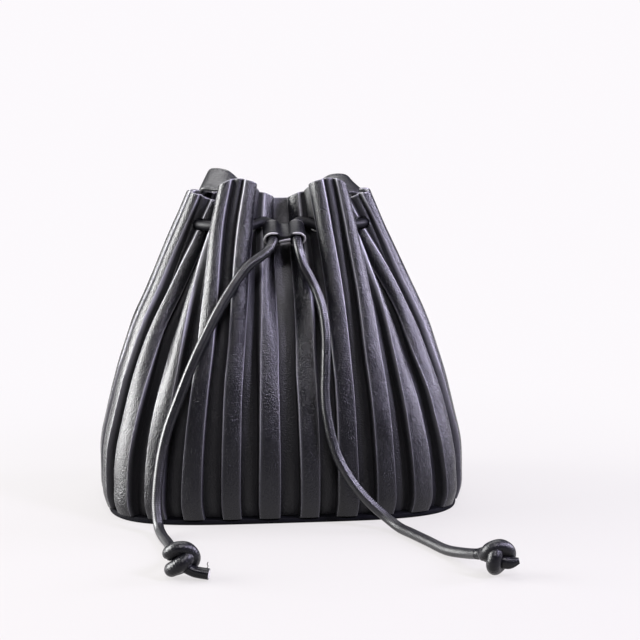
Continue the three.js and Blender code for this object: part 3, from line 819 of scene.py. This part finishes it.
    # Fold edges and the rim take the paler edge colour: edge wear with a painted highlight
    from_edge = maths(tree, "ABSOLUTE", maths(tree, "SUBTRACT", from_groove, size["Ridge Edge"]))
    near_edge = add_node(tree, "ShaderNodeMapRange", {
        "Value": from_edge,
        "From Min": SCUFF_AND_HIGHLIGHT_BAND[0], "From Max": SCUFF_AND_HIGHLIGHT_BAND[1], "To Min": 1, "To Max": 0,
    }, interpolation_type="SMOOTHSTEP")
    scuffed_and_lit_by_height = add_node(tree, "ShaderNodeMapRange", {
        "Value": height,
        "From Min": SCUFF_AND_HIGHLIGHT_HEIGHTS[0], "From Max": SCUFF_AND_HIGHLIGHT_HEIGHTS[1], "To Min": SCUFF_AND_HIGHLIGHT_LOW,
    })
    edges = maths(tree, "MULTIPLY", near_edge.outputs["Result"], scuffed_and_lit_by_height.outputs["Result"])
    at_rim = maths(tree, "MULTIPLY", maths(tree, "GREATER_THAN", height, RIM_FROM), RIM_SCUFF_AND_HIGHLIGHT)
    skin = keep(pressed.outputs["Geometry"], "edge_scuff_and_sheen", maths(tree, "MAXIMUM", edges, at_rim))
    to_corner = maths(tree, "POWER", maths(tree, "MINIMUM", floor_at, 1), CORNER_POWER)
    shelter = maths(tree, "MULTIPLY_ADD", to_corner, 1 - FLOOR_SHELTER, FLOOR_SHELTER)
    skin = keep(skin, "sheltered", maths(tree, "MULTIPLY", sunk, shelter))
    end_tree(tree, skin, size["Leather"], result)
    return tree


run_tree(wall, box_pleat_tree(), {"Leather": pleat_leather}, pleat_leather)

thickness = wall.modifiers.new("leather", "SOLIDIFY")
thickness.thickness = LEATHER
thickness.offset = -1
thickness.use_even_offset = False
wall.data = finished_mesh(wall)
walls = bmesh.new()
walls.from_mesh(wall.data)
outer_count = around * WALL_ROWS
rim = {v for v in range(outer_count - around, outer_count)}
rim |= {v + outer_count for v in rim}
rim_edges = [
    edge for edge in walls.edges
    if edge.verts[0].index in rim and edge.verts[1].index in rim
    and abs(edge.verts[0].index - edge.verts[1].index) < outer_count
]
bmesh.ops.bevel(walls, geom=rim_edges, offset=RIM_ROUND, segments=2, profile=0.5, affect="EDGES")
walls.to_mesh(wall.data)
walls.free()

# The cord's way round the mouth: through each fold's two sides, a fixed distance inside the
# lobes, and up behind the slider at the front.

RING_INSET = 0.0085
RING_START = 0.075
RING_POINTS = 36
RING_STEP = 0.0014
PUNCH_STEP = 0.0026
HOLE_HEIGHT = 0.163
HOLE = 0.007
SLIDER_TILT = math.radians(55)
SLIDER_LENGTH = 0.011
LOOP_CENTRE = 0.0067
LEAD_IN = [(-0.0098, 0.0035), (-0.0082, 0.0006)]
SLIDER_OUT = 0.0026
SLIDER_DROP = 0.003
CORD_GAP = 0.00015
hole_share = (HOLE_HEIGHT - WALL_FOOT) / (BAG_HEIGHT * RIM[6] - WALL_FOOT)
ring_outline = plain_outline(section_at(hole_share), -RING_INSET)
SLIDER_PLACE = (-0.0003, ring_outline[0][1] - SLIDER_OUT, HOLE_HEIGHT - SLIDER_DROP)


def along_slider(side, distance, out=0.0):
    """A point of the cord's way past the slider's middle, and how far out to the side it is."""
    y = SLIDER_PLACE[1] - math.sin(SLIDER_TILT) * distance
    z = SLIDER_PLACE[2] - math.cos(SLIDER_TILT) * distance
    return (SLIDER_PLACE[0] + side * (LOOP_CENTRE + out), y, z)


def to_slider(side):
    """The ring's last points: down from the fold and into the slider."""
    return [along_slider(side, *place) for place in LEAD_IN] + [
        along_slider(side, -SLIDER_LENGTH / 4),
        along_slider(side, SLIDER_LENGTH / 4 - CORD_GAP),
    ]


ring_route = []
for i in range(RING_POINTS + 1):
    share = RING_START + (1 - 2 * RING_START) * i / RING_POINTS
    x, y = ring_outline[round(share * SAMPLES) % SAMPLES]
    ring_route.append((x, y, HOLE_HEIGHT))
ring_line = smooth_route(to_slider(1)[::-1] + ring_route + to_slider(-1), RING_STEP)
hole_line = smooth_route(to_slider(1)[1::-1] + ring_route + to_slider(-1)[:2], PUNCH_STEP)

punch = rolled_cord("punch", hole_line, pleat_leather, HOLE / 2)
holes = wall.modifiers.new("holes", "BOOLEAN")
holes.operation = "DIFFERENCE"
holes.object = punch
holes.solver = "MANIFOLD"
wall.data = finished_mesh(wall)
bpy.data.objects.remove(punch)
shade_smooth(wall.data, WALL_SHARP_CORNER)
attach(wall, "root")
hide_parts("pleated_wall")


# Drawstring round the mouth
# The same cord, threaded through every hole, with both ends led down into the slider. Its
# leather is a darker, duller copy of the cord's: painted shade for the shadow inside the folds.

# Near black and barely reflecting: painted shade inside the folds
ring_leather_shaded = black_leather(
    "ring_leather_shaded", (0.003, 0.003, 0.004), (0.42, 0.52), 0.0006, 0.00014, gleam=0.10, ribs=0.0012
)
cord_ring = rolled_cord("cord_ring", ring_line, ring_leather_shaded, turns=1.5)
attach(cord_ring, "root")
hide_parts("drawstring_ring")


# Base
# A stiff flat panel covered with the same leather, a little inside the pleats' feet. The wall
# is sewn on round it. Its leather is painted near black and reflects almost nothing: painted
# shade for the shadow under the pleats' feet.

BASE_SHARE = (0.968, 0.958)
BASE_EVERY = 7
# Up its side, rounded at both edges: inset, height
BASE_SIDE = [(0.0009, 0.0), (0.0002, 0.0004), (0.0, 0.0011), (0.0, 0.0022), (0.0006, 0.003)]
# Near black and barely reflecting: painted shade under the pleats' feet
base_leather = black_leather("base_leather", (0.003, 0.003, 0.004), (0.7, 0.85), 0.0012, gleam=0.03)
base_line = spaced_outline(
    BAG_WIDTH / 2 * BASE_SHARE[0], BAG_DEPTH / 2 * BASE_SHARE[1], SECTIONS[0]["square"]
)[::BASE_EVERY]
base_normals = outward(base_line)
base_rings = []
for inset, z in BASE_SIDE:
    inner = base_line - base_normals * inset
    base_rings.append(np.column_stack([inner, np.full(len(inner), z)]))
base_faces = tube_faces(len(base_rings), len(base_line), ends=True)
base = mesh_piece("base_cover", np.vstack(base_rings), base_faces, base_leather)
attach(base, "root")
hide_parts("base_panel")


# Slider
# A band of thick leather wound into two loops, one for each end of the cord. Its cut edges
# show lighter, with a painted highlight along the loops' outer rims, and its ends are stacked
# between the loops.

SLIDER_BAND = 0.0018
SLIDER_EDGE = 0.0004
CORD_PLAY = 0.0006
LOOP_INSIDE = CORD / 2 + CORD_PLAY
LOOP_OUTSIDE = LOOP_INSIDE + SLIDER_BAND
LOOP_STEPS = 40
EYE_STEPS = 36
DIP_TURN = math.radians(30)
STACK_TURN = math.radians(58)
DIP = (0.0, 0.0022)
STACK = (0.0, -0.0046)
STACKED_ENDS = [
    {"x": 0.0000, "z": -0.0006, "long": 0.0066, "thick": 0.0015, "turn": -16},
    {"x": -0.0004, "z": -0.0027, "long": 0.0060, "thick": 0.0015, "turn": -13},
]
STACK_OUT = 0.0007
STACK_ROUND = 0.0003
# The pale line round both loops' outer cut edges, a paler cut edge with a painted highlight,
# and the paler ends stacked between them
CUT_SHARE = 0.7
PALE_FROM = 0.62
PALE_LINE = 0.0009
LINE_PALE_AND_HIGHLIGHT = 0.6
STACK_WEAR = 0.35
slider_leather = black_leather(
    "slider_leather", (0.004, 0.004, 0.005), (0.32, 0.45), 0.0009, gleam=0.14, scuff_and_highlight=1.0,
    scuff_and_highlight_tone=(0.62, 0.61, 0.60),
)
drawing = bpy.data.curves.new("slider_drawing", "CURVE")
drawing.dimensions = "2D"
drawing.fill_mode = "BOTH"
drawing.extrude = SLIDER_LENGTH / 2 - SLIDER_EDGE
drawing.bevel_depth = SLIDER_EDGE
drawing.bevel_resolution = 3
drawing.offset = -SLIDER_EDGE
right_loop = []
for i in range(LOOP_STEPS + 1):
    turn = (STACK_TURN - math.pi) + (2 * math.pi - STACK_TURN - DIP_TURN) * i / LOOP_STEPS
    place = (LOOP_CENTRE + LOOP_OUTSIDE * math.cos(turn), LOOP_OUTSIDE * math.sin(turn))
    right_loop.append(place)
outer = right_loop + [DIP] + [(-x, y) for x, y in right_loop[::-1]] + [STACK]
turns = [-2 * math.pi * k / EYE_STEPS for k in range(EYE_STEPS)]
eyes = [
    [(side * LOOP_CENTRE + LOOP_INSIDE * math.cos(t), LOOP_INSIDE * math.sin(t)) for t in turns]
    for side in (1, -1)
]
for points in [outer] + eyes:
    spline = drawing.splines.new("POLY")
    spline.points.add(len(points) - 1)
    spline.use_cyclic_u = True
    for k, (x, y) in enumerate(points):
        spline.points[k].co = (x, y, 0, 1)
drawn = add_object("slider_drawing", drawing)
slider_mesh = finished_mesh(drawn)
bpy.data.objects.remove(drawn)

band = bmesh.new()
band.from_mesh(slider_mesh)
bmesh.ops.remove_doubles(band, verts=band.verts, dist=1e-6)
for end in STACKED_ENDS:
    block = bmesh.ops.create_cube(band, size=1)["verts"]
    size = (end["long"], end["thick"], SLIDER_LENGTH / 2)
    turned = Matrix.Rotation(math.radians(end["turn"]), 4, "Z")
    middle = Matrix.Translation((end["x"], end["z"], -SLIDER_LENGTH / 4 - STACK_OUT))
    bmesh.ops.transform(band, matrix=middle @ turned @ Matrix.Diagonal((*size, 1)), verts=block)
    edges = list({edge for corner in block for edge in corner.link_edges})
    bmesh.ops.bevel(band, geom=edges, offset=STACK_ROUND, segments=2, profile=0.5, affect="EDGES")
bmesh.ops.recalc_face_normals(band, faces=band.faces)
band.to_mesh(slider_mesh)
band.free()

local = np.array([v.co for v in slider_mesh.vertices])
across = np.abs(local[:, 0])
at_cut = np.abs(local[:, 2]) > SLIDER_LENGTH / 2 - SLIDER_EDGE * CUT_SHARE
at_outside = np.hypot(across - LOOP_CENTRE, local[:, 1]) > LOOP_OUTSIDE - PALE_LINE
outer_line = at_cut & at_outside & (across > LOOP_CENTRE * PALE_FROM)
stacked = local[:, 2] < -SLIDER_LENGTH / 2 - STACK_ROUND
# Outer cut edges painted pale: paler leather edge with a painted highlight
slider_mesh.attributes.new("edge_scuff_and_sheen", "FLOAT", "POINT").data.foreach_set(
    "value", np.where(outer_line, LINE_PALE_AND_HIGHLIGHT, np.where(stacked, STACK_WEAR, 0.0))
)
slider_mesh.transform(Matrix.Rotation(-SLIDER_TILT, 4, "X") @ Matrix.Rotation(math.pi, 4, "Z"))
slider_mesh.transform(Matrix.Translation(SLIDER_PLACE))
slider_mesh.materials.clear()
slider_mesh.materials.append(slider_leather)
shade_smooth(slider_mesh, SHARP_CORNER)
slider = add_object("slider_band", slider_mesh)
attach(slider, "root")
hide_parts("slider")


# Shoulder strap
# One flat strap of folded leather, sewn inside the mouth at both sides. It goes over the rim,
# down the bag's back and round on its edge on the table behind.

STRAP_WIDTH = 0.020
STRAP_THICKNESS = 0.0026
STRAP_CLEARANCE = 0.003
STRAP_TOP = BAG_HEIGHT * RIM[10]
SEAT_GAP = 0.0003
BEND_RADIUS = 0.062
BEND_MIDDLE = 0.196
BEND_STEPS = 6
SEWN_PLEAT = 8
SEWN_HEIGHTS = [0.76, 0.86, 0.96]
RIGHT_ARCH = [
    {"x": 0.265, "y": 0.066, "z": 0.913, "across": -62, "tip": 0},
    {"x": 0.291, "y": 0.106, "z": 0.948, "across": -66, "tip": 16},
    {"x": 0.350, "y": 0.163, "z": 0.959, "across": -70, "tip": 30},
    {"x": 0.419, "y": 0.220, "z": 0.956, "across": -70, "tip": 30},
    {"x": 0.476, "y": 0.286, "z": 0.934, "across": -64, "tip": 16},
    {"x": 0.499, "y": 0.371, "z": 0.892, "across": -52, "tip": 0},
]
LEFT_ARCH = [
    {"x": -0.244, "y": 0.071, "z": 0.919, "across": 240, "tip": 0},
    {"x": -0.258, "y": 0.117, "z": 0.953, "across": 244, "tip": 18},
    {"x": -0.324, "y": 0.174, "z": 0.974, "across": 250, "tip": 34},
    {"x": -0.388, "y": 0.240, "z": 0.974, "across": 253, "tip": 30},
    {"x": -0.411, "y": 0.320, "z": 0.942, "across": 252, "tip": 14},
    {"x": -0.410, "y": 0.414, "z": 0.886, "across": 240, "tip": 0},
]
BACK_RUN = [(0.352, 0.80), (0.363, 0.60), (0.366, 0.40), (0.368, 0.20), (0.369, 0.08)]
TABLE_RUN = [
    {"x": 0.786, "back": 0.063, "across": 163, "twist": 0, "lift": 0.0026},
    {"x": 0.795, "back": 0.159, "across": 172, "twist": 0, "lift": 0.0002},
    {"x": 0.771, "back": 0.341, "across": 187, "twist": 5, "lift": 0.0006},
    {"x": 0.695, "back": 0.627, "across": 192, "twist": 42, "lift": 0.0006},
    {"x": 0.638, "back": 0.817, "across": 192, "twist": 72, "lift": 0.0003},
]


def flat_way(degrees):
    """A level direction, turned this far from the bag's right."""
    turn = math.radians(degrees)
    return np.array((math.cos(turn), math.sin(turn), 0.0))


def sewn_end(pleat, height):
    """Where the strap's middle lies on a groove inside the mouth, and which way it is wide."""
    groove = [pleat - GROOVE_HALF, pleat + GROOVE_HALF]
    places, away, _, deep = on_outline(gathered_outline(height), groove)
    before, after = places - away * deep[:, None]
    across = (before - after) / np.linalg.norm(before - after)
    inward = LEATHER + SEAT_GAP + STRAP_THICKNESS / 2
    middle = (before + after) / 2 + np.array((across[1], -across[0])) * inward
    z = WALL_FOOT + (float(rim_height(pleat)) - WALL_FOOT) * height
    return np.array((*middle, z)), np.array((*across, 0.0))


def arch_row(at):
    """The same where it arches over the rim, given as shares of the bag's size."""
    turn = math.radians(at["tip"])
    way = flat_way(at["across"]) * math.cos(turn) - np.array((0, 0, math.sin(turn)))
    return np.array((at["x"] * BAG_WIDTH / 2, at["y"] * BAG_DEPTH / 2, at["z"] * BAG_HEIGHT)), way


def back_row(at):
    """The same down the bag's back, a little clear of the pleats."""
    share, height = at
    outline = plain_outline(section_at(height), STRAP_CLEARANCE)
    k = round(share * SAMPLES)
    along = outline[k] - outline[k + 1]
    z = WALL_FOOT + (STRAP_TOP - WALL_FOOT) * height
    return np.array((*outline[k], z)), np.array((*(along / np.linalg.norm(along)), 0.0))


def table_row(at):
    """The same on the table, where it turns from flat to standing on its edge."""
    turn = math.radians(at["twist"])
    lowest = (STRAP_WIDTH * math.sin(turn) + STRAP_THICKNESS * math.cos(turn) + SEAT_GAP) / 2
    way = flat_way(at["across"]) * math.cos(turn) + np.array((0, 0, math.sin(turn)))
    y = BAG_DEPTH / 2 + (BEND_MIDDLE - BAG_DEPTH / 2) * at["back"]
    return np.array((at["x"] * BAG_WIDTH / 2, y, lowest + at["lift"])), way


def other_side(row):
    """The same on the bag's left."""
    return row[0] * (-1, 1, 1), row[1] * (1, -1, -1)


right_half = [sewn_end(SEWN_PLEAT, h) for h in SEWN_HEIGHTS]
right_half += [arch_row(a) for a in RIGHT_ARCH]
right_half += [back_row(a) for a in BACK_RUN] + [table_row(a) for a in TABLE_RUN]
left_half = [sewn_end(RIDGES - SEWN_PLEAT, h) for h in SEWN_HEIGHTS]
left_half += [arch_row(a) for a in LEFT_ARCH]
left_half += [other_side(back_row(a)) for a in BACK_RUN]
left_half += [other_side(table_row(a)) for a in TABLE_RUN]
bend = []
for i in range(BEND_STEPS + 1):
    turn = math.pi * i / BEND_STEPS
    place = (BEND_RADIUS * math.cos(turn), BEND_MIDDLE + BEND_RADIUS * math.sin(turn))
    bend.append((np.array((*place, (STRAP_WIDTH + SEAT_GAP) / 2)), np.array((0.0, 0.0, 1.0))))
strap_rows = right_half + bend + left_half[::-1]
for i in range(1, len(strap_rows)):
    if strap_rows[i][1] @ strap_rows[i - 1][1] < 0:
        strap_rows[i] = (strap_rows[i][0], -strap_rows[i][1])

# A quarter of the strap's section, from its folded edge to its middle: across, thickness
STRAP_SECTION = [
    (1.00, 0.0), (0.985, 0.5), (0.95, 0.82), (0.90, 0.97), (0.80, 0.985), (0.77, 0.90),
    (0.74, 0.99), (0.45, 1.04), (0.0, 1.06),
]
section = list(STRAP_SECTION)
section += [(-a, t) for a, t in STRAP_SECTION[-2::-1]]
section += [(-a, -t) for a, t in STRAP_SECTION[1:]]
section += [(a, -t) for a, t in STRAP_SECTION[-2:0:-1]]

ROW_STEPS = 8
middle_line = curve_through([place for place, _ in strap_rows], ROW_STEPS)
row_ways = np.array([way for _, way in strap_rows])
at = np.arange(len(middle_line)) / ROW_STEPS
number = np.minimum(at.astype(int), len(row_ways) - 2)
share = (at - number)[:, None]
ease = share * share * (3 - 2 * share)
across_line = row_ways[number] * (1 - ease) + row_ways[number + 1] * ease
along_line = np.gradient(middle_line, axis=0)
along_line /= np.linalg.norm(along_line, axis=1)[:, None]
across_line -= along_line * np.sum(across_line * along_line, axis=1)[:, None]
across_line /= np.linalg.norm(across_line, axis=1)[:, None]
up_line = np.cross(along_line, across_line)

places = []
for point, across, up in zip(middle_line, across_line, up_line):
    for a, t in section:
        places.append(point + across * a * STRAP_WIDTH / 2 + up * t * STRAP_THICKNESS / 2)
strap_leather = black_leather(
    "strap_leather", (0.007, 0.007, 0.008), (0.32, 0.46), 0.0010, gleam=0.28
)
strap_faces = tube_faces(len(middle_line), len(section), ends=True)
strap = mesh_piece("strap_band", places, strap_faces, strap_leather)
band = bmesh.new()
band.from_mesh(strap.data)
bmesh.ops.recalc_face_normals(band, faces=band.faces)
band.to_mesh(strap.data)
band.free()
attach(strap, "root")
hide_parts("shoulder_strap")

# Black thread sewn along both edges, seen on both faces. Its lines lie at a share of the
# strap's half width and half thickness.
STITCH = {"spacing": 0.0032, "long": 0.0023, "thick": 0.0005, "across": 0.77, "rise": 0.90}


def stitch_tree():
    """Lays one small rounded stitch at each step along the sewing lines."""
    tree, given, result = tree_with("stitches", [
        ("Spacing", "NodeSocketFloat", STITCH["spacing"]),
        ("Stitch Size", "NodeSocketVector", (STITCH["thick"], STITCH["thick"], STITCH["long"])),
        ("Thread", "NodeSocketMaterial", None),
    ])
    seam = add_node(tree, "GeometryNodeMeshToCurve", {"Mesh": given.outputs["Geometry"]})
    steps = add_node(
        tree, "GeometryNodeCurveToPoints",
        {"Curve": seam.outputs["Curve"], "Length": given.outputs["Spacing"]}, mode="LENGTH",
    )
    stitch = add_node(
        tree, "GeometryNodeMeshUVSphere", {"Segments": 6, "Rings": 4, "Radius": 0.5}
    )
    aim = add_node(
        tree, "FunctionNodeAlignRotationToVector", {"Vector": steps.outputs["Tangent"]}, axis="Z"
    )
    sewn = add_node(tree, "GeometryNodeInstanceOnPoints", {
        "Points": steps.outputs["Points"],
        "Instance": stitch.outputs["Mesh"],
        "Rotation": aim.outputs["Rotation"],
        "Scale": given.outputs["Stitch Size"],
    })
    end_tree(tree, sewn.outputs["Instances"], given.outputs["Thread"], result)
    return tree


places, runs = [], []
for edge in (1, -1):
    for face in (1, -1):
        first = len(places)
        off = across_line * (edge * STITCH["across"] * STRAP_WIDTH / 2)
        off = off + up_line * (face * STITCH["rise"] * STRAP_THICKNESS / 2)
        places.extend(middle_line + off)
        runs.extend((i, i + 1) for i in range(first, len(places) - 1))
seams = bpy.data.meshes.new("strap_stitches")
seams.from_pydata([tuple(map(float, p)) for p in places], runs, [])
stitches = add_object("strap_stitches", seams)
run_tree(stitches, stitch_tree(), {"Thread": strap_leather}, strap_leather)
stitches.data.polygons.foreach_set("use_smooth", [True] * len(stitches.data.polygons))
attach(stitches, "root")


# Studio
# A pale table that glows softly and fades into a pale surround, with a broad light at the left,
# two violet ones at the right, a small one high in front and a wide one over the back.

PALE = (0.975, 0.950, 0.978, 1)
DIM = (0.03, 0.03, 0.034, 1)
TABLE_CORNERS = [(-1.5, -0.31), (1.5, -0.31), (1.5, 1.9), (-1.5, 1.9)]
TABLE_MIDDLE = (0, -0.25, 0)
TABLE_FADE = (0.14, 0.60)
table_paint = bpy.data.materials.new("table_top")
table_paint.use_nodes = True
paint = table_paint.node_tree
matt = feed(paint, paint.nodes["Principled BSDF"], {
    "Base Color": (0.06, 0.059, 0.058, 1),
    "Roughness": 0.6,
    "Specular IOR Level": 0.1,
    "Emission Color": (0.66, 0.640, 0.642, 1),
    "Emission Strength": 1,
})
glow = add_node(paint, "ShaderNodeEmission", {"Color": PALE})
place = add_node(paint, "ShaderNodeTexCoord").outputs["Object"]
reach = add_node(
    paint, "ShaderNodeVectorMath", {0: place, 1: TABLE_MIDDLE}, operation="DISTANCE"
)
fade = add_node(paint, "ShaderNodeMapRange", {
    "Value": reach.outputs["Value"], "From Min": TABLE_FADE[0], "From Max": TABLE_FADE[1],
}, interpolation_type="SMOOTHSTEP")
blend = add_node(paint, "ShaderNodeMixShader", {
    "Fac": fade.outputs["Result"], 1: matt.outputs["BSDF"], 2: glow.outputs["Emission"],
})
feed(paint, paint.nodes["Material Output"], {"Surface": blend.outputs["Shader"]})
table_mesh = bpy.data.meshes.new("table_top")
table_mesh.from_pydata([(x, y, 0) for x, y in TABLE_CORNERS], [], [(0, 1, 2, 3)])
table_mesh.materials.append(table_paint)
table = add_object("table_top", table_mesh)

LIGHTS_AIM = (0, 0, 0.1)
LIGHTS = [
    {"name": "left", "at": (-1.25, 0.10, 0.45), "size": (0.9, 1.0), "power": 96, "tint": (1, 1, 1)},
    {"name": "right", "at": (0.90, -0.75, 0.95), "size": (0.22, 0.5), "power": 40, "tint": (0.78, 0.73, 1)},
    {"name": "side", "at": (1.25, 0.10, 0.55), "size": (0.4, 0.6), "power": 32, "tint": (0.82, 0.77, 1)},
    {"name": "front", "at": (-0.1, -0.95, 1.15), "size": (0.35, 0.2), "power": 16, "tint": (0.96, 0.93, 1)},
    {"name": "back", "at": (-0.2, 0.60, 1.50), "size": (1.6, 1.0), "power": 34, "tint": (1, 0.99, 1)},
]
for light in LIGHTS:
    data = bpy.data.lights.new(light["name"], "AREA")
    data.shape = "RECTANGLE"
    data.size, data.size_y = light["size"]
    data.energy = light["power"]
    data.color = light["tint"]
    lamp = add_object(light["name"], data)
    lamp.location = light["at"]
    aim = Vector(LIGHTS_AIM) - lamp.location
    lamp.rotation_euler = aim.to_track_quat("-Z", "Y").to_euler()

world = bpy.data.worlds.new("surround")
world.use_nodes = True
bpy.context.scene.world = world
surround = world.node_tree
seen = add_node(surround, "ShaderNodeLightPath")
tone = add_node(
    surround, "ShaderNodeMix",
    {"Factor": seen.outputs["Is Camera Ray"], "A": DIM, "B": PALE}, data_type="RGBA",
)
feed(surround, surround.nodes["Background"], {"Color": tone.outputs["Result"]})
bpy.context.scene.view_settings.view_transform = "Standard"
